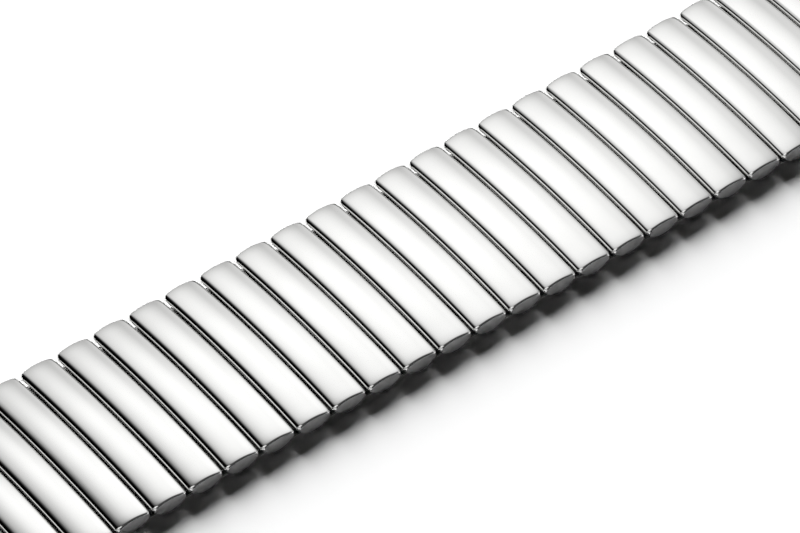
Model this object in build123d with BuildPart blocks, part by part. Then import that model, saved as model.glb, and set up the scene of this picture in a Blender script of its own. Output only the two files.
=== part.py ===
from build123d import *
import math
import os

os.makedirs("parts", exist_ok=True)

# Millimetres, Z up. The band lies flat on the XY plane, runs along X and is centred on the origin.
# Counts
links_per_half = 12

# The band as a whole
link_pitch = 3.5
link_stretch = 1.2
band_width = 18.0
end_link_inset = 0.1
band_height = 2.4
cut_overrun = 1.0

# Top links: a crowned cap with a D-shaped tab at each end and a flat tube below it
link_gap = 0.18
edge_roll = 0.35
crown_edge_angle = math.radians(18.7)
end_drop = 0.45
tab_depth = 1.0
tab_thickness = 0.25
top_floor_depth = 0.85
top_floor_inset = 0.26
end_roll_lift = 0.04
top_side_wall = 0.41
top_cavity_roof_lift = 0.2
top_cavity_roof_rise = 0.2
top_cavity_floor_depth = 0.7
bow_window_lift = 0.025

# Bottom links: flat tubes, set half a pitch away from the top links
bottom_link_gap = 0.45
row_gap = 0.12
bottom_corner_roll = 0.38
bottom_side_flat = 0.1
bottom_sheet = 0.15
sleeve_inset = 0.78

# Connecting bows: flat strip bent to a U, one leg in a top link and one in a bottom link
bow_strip_width = 0.5
bow_strip_thickness = 0.22
bow_web_gap = 0.08
bow_leg_length = 2.7
upper_leg_side_gap = 0.07
lower_leg_side_gap = 0.075
upper_leg_drop = 0.37
leg_seat_gap = 0.02

# Leaf springs: one long bowed strip in every link
leaf_thickness = 0.1
leaf_end_gap = 0.12
leaf_side_gap = 0.1
leg_running_gap = 0.05
leaf_seat_gap = 0.02

# End links: folded sheet that closes round the spring bar
nose_radius = 0.95
nose_offset = 4.85
end_slope_start = 1.6
end_tab_bend_x = -0.9
end_tab_bend_depth = 0.7
end_tab_joint_x = 0.6
end_tab_joint_depth = 0.95

# Spring bars
barrel_radius = 0.75
barrel_play = 0.05
barrel_wall = 0.11
barrel_mouth_lip = 0.08
barrel_inset = 0.4
barrel_end_wall = 0.35
tip_radius = 0.35
tip_protrusion = 0.9
tip_play = 0.04
tip_head_length = 0.8
tip_head_gap = 0.05
coil_wire_radius = 0.09
coil_side_gap = 0.13
coil_turns = 16
coil_end_gap = 0.02

# Levels and reaches that follow from the sizes above
half_width = (link_pitch - link_gap) / 2
top_floor_half_width = half_width - top_floor_inset
top_cavity_half_width = half_width - top_side_wall
bottom_link_width = link_pitch - bottom_link_gap
crown_edge_x = half_width - edge_roll * (1 - math.sin(crown_edge_angle))
crown_edge_rise = edge_roll * math.cos(crown_edge_angle)
crown_rise = crown_edge_rise + crown_edge_x * math.tan(crown_edge_angle / 2)
crown_radius = crown_edge_x / math.sin(crown_edge_angle)
crown_top = band_height
waist = crown_top - crown_rise
bow_radius = ((band_width / 2) ** 2 + end_drop**2) / (2 * end_drop)
bow_sweep = math.degrees(math.asin((band_width / 2 + cut_overrun) / bow_radius))
bow_axis = Axis((0, 0, crown_top - bow_radius), (1, 0, 0))
window_top = waist - end_drop + bow_window_lift
top_floor = waist - top_floor_depth
top_cavity_roof = waist + top_cavity_roof_lift
top_cavity_floor = waist - top_cavity_floor_depth
bottom_top = top_floor - row_gap
bottom_roof = bottom_top - bottom_sheet
bottom_corner_radius = min(bottom_corner_roll, (bottom_top - bottom_side_flat) / 2)
upper_leg_level = waist - upper_leg_drop
lower_leg_level = bottom_sheet + leg_seat_gap + bow_strip_thickness / 2
sleeve_half_length = band_width / 2 - sleeve_inset
bow_web_start = sleeve_half_length + bow_web_gap
bow_web_end = bow_web_start + bow_strip_thickness
bow_leg_tip = bow_web_start - bow_leg_length
pivot_leg_offset = top_cavity_half_width - upper_leg_side_gap - bow_strip_width / 2
sliding_leg_start = pivot_leg_offset - link_stretch
sliding_leg_foot = bottom_link_width / 2 - bottom_sheet - lower_leg_side_gap - bow_strip_width / 2
leaf_half_length = sleeve_half_length - leaf_end_gap
leaf_half_width = top_cavity_half_width - leaf_side_gap
end_link_half_width = band_width / 2 - end_link_inset
bar_bore_radius = barrel_radius + barrel_play
barrel_bore_radius = barrel_radius - barrel_wall
barrel_half_length = end_link_half_width - barrel_inset
barrel_mouth_radius = barrel_bore_radius - barrel_mouth_lip
tip_shank_radius = barrel_mouth_radius - tip_play
tip_head_radius = barrel_bore_radius - tip_play
tip_reach = end_link_half_width + tip_protrusion
coil_radius = barrel_bore_radius - coil_side_gap - coil_wire_radius
diagonal = math.cos(math.radians(45))

# The upper half of every top link's outline, seen along Y
roll_middle_x = half_width - edge_roll * (1 - math.sin((crown_edge_angle + math.radians(90)) / 2))
roll_middle_z = waist + edge_roll * math.cos((crown_edge_angle + math.radians(90)) / 2)


def add_cap_outline(drop):
    """Crown arc and the two rolled edges, from one waist point over the top to the other."""
    low = waist - drop
    ThreePointArc(
        (-half_width, low), (-roll_middle_x, roll_middle_z - drop), (-crown_edge_x, low + crown_edge_rise)
    )
    ThreePointArc(
        (-crown_edge_x, low + crown_edge_rise), (0, crown_top - drop), (crown_edge_x, low + crown_edge_rise)
    )
    ThreePointArc(
        (crown_edge_x, low + crown_edge_rise), (roll_middle_x, roll_middle_z - drop), (half_width, low)
    )


def cut_end_rolls(half_length, reach):
    """Rounds the cap's upper edge at both ends of a link."""
    roll_top = crown_top - end_drop + end_roll_lift
    with BuildSketch(Plane.YZ.offset(-reach)) as roll_cutter:
        with BuildLine():
            ThreePointArc(
                (half_length - edge_roll, roll_top),
                (half_length - edge_roll * (1 - diagonal), roll_top - edge_roll * (1 - diagonal)),
                (half_length, roll_top - edge_roll),
            )
            Polyline(
                (half_length, roll_top - edge_roll),
                (half_length + cut_overrun, roll_top - edge_roll),
                (half_length + cut_overrun, roll_top + cut_overrun),
                (half_length - edge_roll, roll_top + cut_overrun),
                (half_length - edge_roll, roll_top),
            )
        make_face()
        mirror(about=Plane.YZ)
    extrude(roll_cutter.sketch, amount=2 * reach, mode=Mode.SUBTRACT)


def cut_bow_windows():
    """Opens a link's side walls and floor near both ends, below the waist, for the bows' webs."""
    window_length = band_width / 2 - tab_thickness - sleeve_half_length
    with Locations(
        (0, sleeve_half_length + window_length / 2, window_top - band_height / 2),
        (0, -sleeve_half_length - window_length / 2, window_top - band_height / 2),
    ):
        Box(link_pitch, window_length, band_height, mode=Mode.SUBTRACT)


# Hollow of a top link: its roof follows the cap's lengthwise bow and its floor is flat
with BuildPart() as top_cavity:
    with BuildSketch(Plane.XZ):
        with BuildLine():
            Polyline(
                (-top_cavity_half_width, top_cavity_roof),
                (-top_cavity_half_width, top_cavity_floor),
                (top_cavity_half_width, top_cavity_floor),
                (top_cavity_half_width, top_cavity_roof),
            )
            ThreePointArc(
                (top_cavity_half_width, top_cavity_roof),
                (0, top_cavity_roof + top_cavity_roof_rise),
                (-top_cavity_half_width, top_cavity_roof),
            )
        make_face()
    revolve(axis=bow_axis, revolution_arc=bow_sweep)
    mirror(about=Plane.XZ)
    with Locations((0, 0, top_cavity_floor + band_height / 2)):
        Box(link_pitch, band_width - 2 * tab_thickness, band_height, mode=Mode.INTERSECT)

# Top link: bowed cap and flat-bottomed tube in one sheet
with BuildPart() as top_shell:
    with BuildSketch(Plane.XZ):
        with BuildLine():
            add_cap_outline(0)
            Polyline(
                (half_width, waist),
                (top_floor_half_width, top_floor),
                (-top_floor_half_width, top_floor),
                (-half_width, waist),
            )
        make_face()
    revolve(axis=bow_axis, revolution_arc=bow_sweep)
    mirror(about=Plane.XZ)
    with Locations((0, 0, top_floor + band_height / 2)):
        Box(link_pitch, band_width, band_height, mode=Mode.INTERSECT)
    add(top_cavity.part, mode=Mode.SUBTRACT)
    cut_bow_windows()
    with BuildSketch(Plane.XZ.offset(band_width / 2 - tab_thickness), Plane.XZ.offset(-band_width / 2)):
        with BuildLine():
            add_cap_outline(end_drop)
            ThreePointArc(
                (half_width, waist - end_drop),
                (0, waist - end_drop - tab_depth),
                (-half_width, waist - end_drop),
            )
        make_face()
    extrude(amount=tab_thickness)
    cut_end_rolls(band_width / 2, link_pitch)

with BuildPart() as top_leaf:
    leaf_tip_level = upper_leg_level - bow_strip_thickness / 2 - leg_running_gap
    leaf_middle_level = top_cavity_floor + leaf_seat_gap + leaf_thickness
    with BuildSketch(Plane.YZ.offset(-leaf_half_width)):
        with BuildLine():
            ThreePointArc(
                (-leaf_half_length, leaf_tip_level),
                (0, leaf_middle_level),
                (leaf_half_length, leaf_tip_level),
            )
            Line((leaf_half_length, leaf_tip_level), (leaf_half_length, leaf_tip_level - leaf_thickness))
            ThreePointArc(
                (leaf_half_length, leaf_tip_level - leaf_thickness),
                (0, leaf_middle_level - leaf_thickness),
                (-leaf_half_length, leaf_tip_level - leaf_thickness),
            )
            Line((-leaf_half_length, leaf_tip_level - leaf_thickness), (-leaf_half_length, leaf_tip_level))
        make_face()
    extrude(amount=2 * leaf_half_width)

# Bottom link: flat tube with its own leaf spring, bowed the other way
with BuildPart() as bottom_sleeve:
    with BuildSketch(Plane.XZ):
        with Locations((0, bottom_top / 2)):
            RectangleRounded(bottom_link_width, bottom_top, bottom_corner_radius)
            RectangleRounded(
                bottom_link_width - 2 * bottom_sheet,
                bottom_top - 2 * bottom_sheet,
                bottom_corner_radius - bottom_sheet,
                mode=Mode.SUBTRACT,
            )
    extrude(amount=sleeve_half_length, both=True)

with BuildPart() as bottom_leaf:
    tip_level = lower_leg_level + bow_strip_thickness / 2 + leaf_seat_gap
    middle_level = bottom_roof - leaf_seat_gap - leaf_thickness
    with BuildSketch(Plane.YZ.offset(-leaf_half_width)):
        with BuildLine():
            ThreePointArc((-leaf_half_length, tip_level), (0, middle_level), (leaf_half_length, tip_level))
            Line((leaf_half_length, tip_level), (leaf_half_length, tip_level + leaf_thickness))
            ThreePointArc(
                (leaf_half_length, tip_level + leaf_thickness),
                (0, middle_level + leaf_thickness),
                (-leaf_half_length, tip_level + leaf_thickness),
            )
            Line((-leaf_half_length, tip_level + leaf_thickness), (-leaf_half_length, tip_level))
        make_face()
    extrude(amount=2 * leaf_half_width)


def add_bow_pair(upper_x, lower_x):
    """A near and a far bow, with the upper legs at one X and the lower legs at another."""
    half_strip = bow_strip_width / 2
    with BuildSketch(Plane.XZ.offset(bow_leg_tip)) as leg_section:
        with Locations((upper_x, upper_leg_level), (lower_x, lower_leg_level)):
            SlotOverall(bow_strip_width, bow_strip_thickness)
    near_legs = extrude(leg_section.sketch, amount=bow_web_end - bow_leg_tip)
    with BuildSketch(Plane.XZ.offset(bow_web_start)) as web_outline:
        with Locations((upper_x, upper_leg_level), (lower_x, lower_leg_level)):
            SlotOverall(bow_strip_width, bow_strip_thickness)
        with BuildLine():
            Polyline(
                (upper_x - half_strip + bow_strip_thickness / 2, upper_leg_level),
                (upper_x + half_strip - bow_strip_thickness / 2, upper_leg_level),
                (lower_x + half_strip - bow_strip_thickness / 2, lower_leg_level),
                (lower_x - half_strip + bow_strip_thickness / 2, lower_leg_level),
                close=True,
            )
        make_face()
    near_web = extrude(web_outline.sketch, amount=bow_strip_thickness)
    mirror([near_legs, near_web], about=Plane.XZ)


pivot_foot = link_pitch / 2 - pivot_leg_offset
slide_foot = -sliding_leg_foot
slide_head = sliding_leg_start - link_pitch / 2

with BuildPart() as pivot_bows:
    add_bow_pair(pivot_foot, pivot_foot)

with BuildPart() as sliding_bows:
    add_bow_pair(slide_head, slide_foot)

# Links of the right half. The left half mirrors them
with BuildPart() as top_link:
    add(top_shell.part)
    add(top_leaf.part)

with BuildPart() as bottom_link:
    add(bottom_sleeve.part)
    add(bottom_leaf.part)
    add(pivot_bows.part)
    add(sliding_bows.part)

with BuildPart() as middle_link:
    add(bottom_sleeve.part)
    add(bottom_leaf.part)
    add(pivot_bows.part)
    mirror(pivot_bows.part, about=Plane.YZ)

# End link of the right side, on the centre of its first, link-like stretch
nose_level = crown_top - end_drop - nose_radius


def add_inner_edge(drop):
    """The end link's rolled inner edge and half a crown."""
    low = waist - drop
    crown_quarter_drop = crown_radius - math.sqrt(crown_radius**2 - (crown_edge_x / 2) ** 2)
    ThreePointArc(
        (-half_width, low), (-roll_middle_x, roll_middle_z - drop), (-crown_edge_x, low + crown_edge_rise)
    )
    ThreePointArc(
        (-crown_edge_x, low + crown_edge_rise),
        (-crown_edge_x / 2, crown_top - drop - crown_quarter_drop),
        (0, crown_top - drop),
    )


def add_nose(drop):
    """The end link's top, sloping down to the nose, and the nose round the spring bar."""
    Line((0, crown_top - drop), (nose_offset, nose_level + nose_radius))
    ThreePointArc(
        (nose_offset, nose_level + nose_radius),
        (nose_offset + nose_radius, nose_level),
        (nose_offset, nose_level - nose_radius),
    )


# The bow of the links' caps, carried on over the end link
with BuildPart() as end_bow:
    with BuildSketch(Plane.XZ):
        with BuildLine():
            add_inner_edge(0)
            Polyline(
                (0, crown_top),
                (2 * link_pitch, crown_top),
                (2 * link_pitch, -band_height),
                (-half_width, -band_height),
                (-half_width, waist),
            )
        make_face()
    revolve(axis=bow_axis, revolution_arc=bow_sweep)
    mirror(about=Plane.XZ)

with BuildPart() as end_shell:
    with BuildSketch(Plane.XZ):
        with BuildLine():
            add_inner_edge(0)
            add_nose(0)
            Polyline(
                (nose_offset, nose_level - nose_radius),
                (end_slope_start, top_floor),
                (-top_floor_half_width, top_floor),
                (-half_width, waist),
            )
        make_face()
    extrude(amount=end_link_half_width, both=True)
    add(end_bow.part, mode=Mode.INTERSECT)
    add(top_cavity.part, mode=Mode.SUBTRACT)
    cut_bow_windows()
    with BuildSketch(
        Plane.XZ.offset(end_link_half_width - tab_thickness), Plane.XZ.offset(-end_link_half_width)
    ):
        with BuildLine():
            add_inner_edge(end_drop)
            add_nose(end_drop)
            Line(
                (nose_offset, nose_level - nose_radius),
                (end_tab_joint_x, waist - end_drop - end_tab_joint_depth),
            )
            ThreePointArc(
                (end_tab_joint_x, waist - end_drop - end_tab_joint_depth),
                (end_tab_bend_x, waist - end_drop - end_tab_bend_depth),
                (-half_width, waist - end_drop),
            )
        make_face()
    extrude(amount=tab_thickness)
    cut_end_rolls(end_link_half_width, 2 * link_pitch)
    with BuildSketch(Plane.XZ):
        with Locations((nose_offset, nose_level)):
            Circle(bar_bore_radius)
    extrude(amount=band_width, both=True, mode=Mode.SUBTRACT)

with BuildPart() as end_link:
    add(end_shell.part)
    add(top_leaf.part)

# Spring bar on its own axis
with BuildPart() as barrel:
    with BuildSketch(Plane.XZ):
        Circle(barrel_radius)
    extrude(amount=barrel_half_length, both=True)
    with BuildSketch(Plane.XZ):
        Circle(barrel_bore_radius)
    extrude(amount=barrel_half_length - barrel_end_wall, both=True, mode=Mode.SUBTRACT)
    with BuildSketch(Plane.XZ):
        Circle(barrel_mouth_radius)
    extrude(amount=barrel_half_length + cut_overrun, both=True, mode=Mode.SUBTRACT)

# Head inside the barrel, shank through its mouth up to the end link's face, thin pin beyond
tip_head_end = barrel_half_length - barrel_end_wall - tip_head_gap
tip_head_start = tip_head_end - tip_head_length
with BuildPart() as near_tip:
    with BuildSketch(Plane.XZ.offset(tip_head_start)):
        Circle(tip_head_radius)
    extrude(amount=tip_head_length)
    with BuildSketch(Plane.XZ.offset(tip_head_start)):
        Circle(tip_shank_radius)
    extrude(amount=end_link_half_width - tip_head_start)
    with BuildSketch(Plane.XZ.offset(tip_head_start)):
        Circle(tip_radius)
    extrude(amount=tip_reach - tip_head_start)

coil_half_length = tip_head_start - coil_end_gap - coil_wire_radius
with BuildPart() as coil:
    with BuildLine():
        coil_path = Helix(
            pitch=2 * coil_half_length / coil_turns,
            height=2 * coil_half_length,
            radius=coil_radius,
            center=(0, -coil_half_length, 0),
            direction=(0, 1, 0),
        )
    with BuildSketch(Plane(origin=coil_path @ 0, z_dir=coil_path % 0)):
        Circle(coil_wire_radius)
    sweep(path=coil_path, is_frenet=True)

# Every piece at its place in the band, numbered from left to right
half_count = links_per_half
right_shift = [link_pitch * (place + 0.5) for place in range(half_count)]
bottom_shift = [link_pitch * (place + 1) for place in range(half_count)]
end_shift = link_pitch * (half_count + 0.5)
bar_x = end_shift + nose_offset

for place in range(half_count):
    with BuildPart() as right_top:
        with Locations((right_shift[place], 0, 0)):
            add(top_link.part)
    right_top.part.label = f"top_link_{half_count + 1 + place:02d}"
    export_step(right_top.part, f"parts/{right_top.part.label}.step")

    with BuildPart() as left_top:
        mirror(right_top.part, about=Plane.YZ)
    left_top.part.label = f"top_link_{half_count - place:02d}"
    export_step(left_top.part, f"parts/{left_top.part.label}.step")

    with BuildPart() as right_bottom:
        with Locations((bottom_shift[place], 0, 0)):
            add(bottom_link.part)
    right_bottom.part.label = f"bottom_link_{half_count + 2 + place:02d}"
    export_step(right_bottom.part, f"parts/{right_bottom.part.label}.step")

    with BuildPart() as left_bottom:
        mirror(right_bottom.part, about=Plane.YZ)
    left_bottom.part.label = f"bottom_link_{half_count - place:02d}"
    export_step(left_bottom.part, f"parts/{left_bottom.part.label}.step")

middle_link.part.label = f"bottom_link_{half_count + 1:02d}"
export_step(middle_link.part, f"parts/{middle_link.part.label}.step")

with BuildPart() as right_end_link:
    with Locations((end_shift, 0, 0)):
        add(end_link.part)
right_end_link.part.label = "right_end_link"
export_step(right_end_link.part, "parts/right_end_link.step")

with BuildPart() as left_end_link:
    mirror(right_end_link.part, about=Plane.YZ)
left_end_link.part.label = "left_end_link"
export_step(left_end_link.part, "parts/left_end_link.step")

for side, side_sign in (("left", -1), ("right", 1)):
    with BuildPart() as side_barrel:
        with Locations((side_sign * bar_x, 0, nose_level)):
            add(barrel.part)
    side_barrel.part.label = f"{side}_spring_bar_barrel"
    export_step(side_barrel.part, f"parts/{side_barrel.part.label}.step")

    with BuildPart() as side_coil:
        with Locations((side_sign * bar_x, 0, nose_level)):
            add(coil.part)
    side_coil.part.label = f"{side}_spring_bar_coil"
    export_step(side_coil.part, f"parts/{side_coil.part.label}.step")

    with BuildPart() as side_near_tip:
        with Locations((side_sign * bar_x, 0, nose_level)):
            add(near_tip.part)
    side_near_tip.part.label = f"{side}_spring_bar_near_tip"
    export_step(side_near_tip.part, f"parts/{side_near_tip.part.label}.step")

    with BuildPart() as side_far_tip:
        mirror(side_near_tip.part, about=Plane.XZ)
    side_far_tip.part.label = f"{side}_spring_bar_far_tip"
    export_step(side_far_tip.part, f"parts/{side_far_tip.part.label}.step")
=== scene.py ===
import math

import bpy
import numpy as np
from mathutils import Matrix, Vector


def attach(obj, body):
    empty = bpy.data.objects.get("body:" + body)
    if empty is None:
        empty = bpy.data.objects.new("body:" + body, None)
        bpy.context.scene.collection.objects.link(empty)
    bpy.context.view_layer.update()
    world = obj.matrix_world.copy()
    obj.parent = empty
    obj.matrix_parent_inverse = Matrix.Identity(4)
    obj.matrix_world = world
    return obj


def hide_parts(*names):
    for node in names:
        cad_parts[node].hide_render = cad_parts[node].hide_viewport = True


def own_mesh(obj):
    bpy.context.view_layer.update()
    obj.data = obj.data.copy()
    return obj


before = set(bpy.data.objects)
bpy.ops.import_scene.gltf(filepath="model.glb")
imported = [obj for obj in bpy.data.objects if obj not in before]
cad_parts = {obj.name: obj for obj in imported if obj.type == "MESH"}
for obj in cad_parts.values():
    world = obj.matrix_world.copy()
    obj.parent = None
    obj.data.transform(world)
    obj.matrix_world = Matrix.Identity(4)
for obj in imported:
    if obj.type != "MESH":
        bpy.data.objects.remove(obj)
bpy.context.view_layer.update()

bl_info = {
    "name": "Expansion watch band",
    "version": (1, 0, 0),
    "blender": (4, 5, 0),
    "location": "3D View > Sidebar > Watch Band",
    "description": "Polished expansion band with crowned links over a staggered lower row",
    "category": "Object",
}

MM = 0.001
LINKS_PER_HALF = 12
TOP_LINKS = 2 * LINKS_PER_HALF
BOTTOM_LINKS = TOP_LINKS + 1

# Shapes are worked out in millimetres: X along the band from a link's own middle, Y across the band
# and Z up from the table.

# Cap of a top link: a crown between two rolled edges. The crown slopes by CROWN_EDGE where it meets
# the rolls, and the rolls end upright at the cap's waist.
HALF_WIDTH = 1.66
EDGE_ROLL = 0.45
CROWN_EDGE = math.radians(18.7)
CROWN_TOP = 2.4
CROWN_HALF = HALF_WIDTH - EDGE_ROLL * (1 - math.sin(CROWN_EDGE))
CAP_WAIST = CROWN_TOP - EDGE_ROLL * math.cos(CROWN_EDGE) - CROWN_HALF * math.tan(CROWN_EDGE / 2)
ROLL_STEPS = 10
CROWN_STEPS = 25

# Tabs folded down at the cap's ends. The edge above a tab turns by EDGE_TURN.
TAB_SHEET = 0.25
TAB_BEVEL = 0.05
EDGE_TURN = math.radians(50)

# Levels of the inner parts
WAIST = 1.8343
FLOOR_LEVEL = WAIST - 0.85
CAVITY_FLOOR = WAIST - 0.7
TAB_BOTTOM = WAIST - 1.45
SLEEVE_TOP = FLOOR_LEVEL - 0.12
UPPER_LEG_LEVEL = WAIST - 0.37
LOWER_LEG_LEVEL = 0.28

# Hollow of a top link, and the tube that closes it from below
HOLLOW_HALF = 1.25
ROOF_RISE = 0.2
ROOF_CROWN = 0.2
TUBE_FOOT = 1.4
END_TUBE_FOOT = 1.75
OUTER_CORNER = 0.16
INNER_CORNER = 0.06

# Sleeves of the lower row
SLEEVE_HALF_LENGTH = 8.22
SLEEVE_HALF_WIDTH = 1.525
SLEEVE_CORNER = 0.38
SLEEVE_WALL = 0.15
SLEEVE_RIM = 0.03

# Leaf springs, with the levels of their middle and their tips
LEAF_HALF_LENGTH = 8.1
LEAF_HALF_WIDTH = 1.15
LEAF_HALF_THICKNESS = 0.05
LEAF_CORNER = 0.045
TOP_LEAF_LEVELS = (CAVITY_FLOOR + 0.07, UPPER_LEG_LEVEL - 0.21)
BOTTOM_LEAF_LEVELS = (SLEEVE_TOP - 0.22, 0.46)

# X of the upper and lower legs of the bows that the band turns on and of those that slide
TURNING_LEGS = (0.82, 0.82)
SLIDING_LEGS = (-2.02, -1.05)

# End links: a straight slope from the crown to a round nose, and the spring bar's bore in the nose
NOSE_X = 4.85
NOSE_Z = 1.0
NOSE_RADIUS = 0.95
BORE_RADIUS = 0.8
END_HALF_WIDTH = 8.9
SLOPE_STEPS = 12
NOSE_STEPS = 18

# Spring bars: radius and Y along the barrel's whole wall, and along one tip from its head outwards
BARREL_PROFILE = (
    (0.75, -8.42), (0.75, 8.42), (0.73, 8.48), (0.68, 8.5), (0.58, 8.5), (0.56, 8.48), (0.56, 8.15),
    (0.64, 8.15), (0.64, -8.15), (0.56, -8.15), (0.56, -8.48), (0.58, -8.5), (0.68, -8.5), (0.73, -8.48),
)
TIP_PROFILE = (
    (0.56, 7.3), (0.6, 7.34), (0.6, 8.06), (0.56, 8.1), (0.52, 8.11), (0.52, 8.84), (0.48, 8.9),
    (0.37, 8.9), (0.35, 8.93), (0.35, 9.66), (0.33, 9.73), (0.27, 9.78), (0.16, 9.8), (0.05, 9.8),
)

# End faces start this little inside the link's own ends
FACE_MARGIN = 0.002

# How far each top link leans to the right on the table, in degrees, from left to right
LEANS = (1.2, 0.9, -0.5, 1.2, 0.1, 1.4, 0.4, 1.4, 0.2, 0.3, -0.4, 0.5)
LEANS += (-0.7, -0.3, -0.5, -0.7, -0.5, -0.8, -1.1, 0.1, -0.6, 0.0, 0.1, 0.0)


class BandSizes(bpy.types.PropertyGroup):
    """Sizes of the band"""

    link_pitch: bpy.props.FloatProperty(
        name="Link pitch", description="From the middle of one link to the next",
        default=0.0035, unit="LENGTH",
    )
    band_width: bpy.props.FloatProperty(
        name="Band width", description="Length of each link, across the band",
        default=0.018, unit="LENGTH",
    )
    end_drop: bpy.props.FloatProperty(
        name="Lengthwise bow", description="How far a link's ends lie below its middle",
        default=0.00045, unit="LENGTH",
    )
    shoulder_drop: bpy.props.FloatProperty(
        name="Shoulder drop", description="Extra fall over the last stretch of each link",
        default=0.00004, unit="LENGTH",
    )
    shoulder_length: bpy.props.FloatProperty(
        name="Shoulder length", description="Length of that last stretch",
        default=0.0012, unit="LENGTH",
    )
    end_round: bpy.props.FloatProperty(
        name="End rounding", description="Radius of a link's edge at the middle of its end",
        default=0.0002, unit="LENGTH",
    )
    corner_round: bpy.props.FloatProperty(
        name="Corner rounding", description="Radius of a link's edge at its corners",
        default=0.0006, unit="LENGTH",
    )


class BandColours(bpy.types.PropertyGroup):
    """Colours of the band and the table"""

    polished: bpy.props.FloatVectorProperty(
        name="Polished steel", description="Top links and end links",
        subtype="COLOR", size=3, default=(0.8, 0.8, 0.79),
    )
    brushed: bpy.props.FloatVectorProperty(
        name="Brushed steel", description="Lower row",
        subtype="COLOR", size=3, default=(0.5, 0.5, 0.5),
    )
    # End faces: a rougher satin finish, and a darker colour that is painted shade for the end faces turned away
    # from the light
    satin_and_shade: bpy.props.FloatVectorProperty(
        name="Satin steel", description="End faces of the top links",
        subtype="COLOR", size=3, default=(0.42, 0.42, 0.42),
    )
    spring: bpy.props.FloatVectorProperty(
        name="Spring steel", description="Bows, leaf springs and coils",
        subtype="COLOR", size=3, default=(0.42, 0.42, 0.43),
    )
    turned: bpy.props.FloatVectorProperty(
        name="Turned steel", description="Spring bars",
        subtype="COLOR", size=3, default=(0.62, 0.62, 0.61),
    )
    table: bpy.props.FloatVectorProperty(
        name="Table", description="The white table",
        subtype="COLOR", size=3, default=(0.8, 0.8, 0.8),
    )


# Meshes

def signed_volume(verts, faces):
    """Sum of the small pyramids from the origin to every face, which is above 0 when faces point out."""
    a, b, c, d = (verts[faces[:, i]] for i in range(4))
    return (np.einsum("ij,ij->i", a, np.cross(b, c)) + np.einsum("ij,ij->i", a, np.cross(c, d))).sum()


def loft(rows, ring=False):
    """Closed skin over rows of closed loops. With ring the last row joins the first, and otherwise
    each end is filled by quads between the loop's first and second half. Faces are turned outwards."""
    rows = np.asarray(rows, float)
    count, size = rows.shape[:2]
    index = np.arange(count * size).reshape(count, size)
    start = index if ring else index[:-1]
    after = np.roll(index, -1, axis=0) if ring else index[1:]
    faces = np.stack([start, np.roll(start, -1, 1), np.roll(after, -1, 1), after], -1).reshape(-1, 4)
    if not ring:
        i = np.arange(size // 2 - 1)
        ladder = np.stack([i, size - 1 - i, size - 2 - i, i + 1], -1)
        faces = np.concatenate([faces, index[0][ladder], index[-1][ladder[:, ::-1]]])
    verts = rows.reshape(-1, 3)
    if signed_volume(verts, faces) < 0:
        faces = faces[:, ::-1]
    return verts, faces


def place(parts, shift=(0, 0, 0), mirrored=False, tilt=0.0):
    """Leans parts about a line along Y at the floor's level, mirrors them in the YZ plane and moves
    them, in millimetres."""
    out = []
    for verts, faces in parts:
        v = verts.copy()
        x, z = v[:, 0].copy(), v[:, 2] - FLOOR_LEVEL
        v[:, 0] = x * math.cos(tilt) + z * math.sin(tilt)
        v[:, 2] = FLOOR_LEVEL - x * math.sin(tilt) + z * math.cos(tilt)
        if mirrored:
            v[:, 0] *= -1
            faces = faces[:, ::-1]
        out.append((v + np.array(shift, float), faces))
    return out


def add_piece(name, parts, material, body, nodes=(), end_material=None, end_level=0.0):
    """One object from closed skins in millimetres, riding on a body and standing for CAD nodes. Faces
    further than end_level from the middle of the band take the end material."""
    verts = np.concatenate([v for v, _ in parts]) * MM
    offsets = np.cumsum([0] + [len(v) for v, _ in parts[:-1]])
    faces = np.concatenate([f + o for (_, f), o in zip(parts, offsets)])
    mesh = bpy.data.meshes.new(name)
    mesh.from_pydata(verts, [], faces.tolist())
    mesh.shade_smooth()
    mesh.set_sharp_from_angle(angle=math.radians(38))
    mesh.materials.append(material)
    if end_material:
        mesh.materials.append(end_material)
        at_end = np.abs(verts[faces][:, :, 1].mean(1)) > end_level * MM
        mesh.polygons.foreach_set("material_index", at_end.astype(np.int32))
    obj = bpy.data.objects.new(name, mesh)
    bpy.context.scene.collection.objects.link(obj)
    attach(obj, body)
    if nodes:
        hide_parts(*nodes)
    return obj


def row(x, y, z):
    """Points from X, Y and Z, where a single number stands for all of them."""
    return np.stack(np.broadcast_arrays(x, y, z), -1)


def rounded_loop(half_width, half_height, corner, steps):
    """Rounded rectangle, four quarter circles in turn, from its left side over the top."""
    quarter = np.linspace(0, math.pi / 2, steps)
    loop = []
    for turn, (sx, sz) in zip((math.pi, math.pi / 2, 0, -math.pi / 2), ((-1, 1), (1, 1), (1, -1), (-1, -1))):
        a = turn - quarter
        x = sx * (half_width - corner) + corner * np.cos(a)
        z = sz * (half_height - corner) + corner * np.sin(a)
        loop.append(np.stack([x, z], -1))
    return np.concatenate(loop)


def corner_arc(foot, level, radius, side):
    """Quarter circle that rounds a wall into a floor, from left to right. The wall stands at foot,
    left of the floor with side -1 and right of it with side 1."""
    turn = np.linspace(0, math.pi / 2, 5)[::-side]
    return np.stack([foot - side * radius * (1 - np.cos(turn)), level + radius * (1 - np.sin(turn))], -1)


# Shape of the top links

def bow_drop(y, sizes):
    """Fall of a cap along Y: a circle's arc through the middle and both ends, and a cubic shoulder."""
    half = sizes.band_width / MM / 2
    drop = sizes.end_drop / MM
    radius = (half**2 + drop**2) / (2 * drop)
    length = sizes.shoulder_length / MM
    shoulder = np.clip((np.abs(y) - (half - length)) / length, 0, 1) ** 3
    return radius - np.sqrt(radius**2 - y**2) + sizes.shoulder_drop / MM * shoulder


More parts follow.
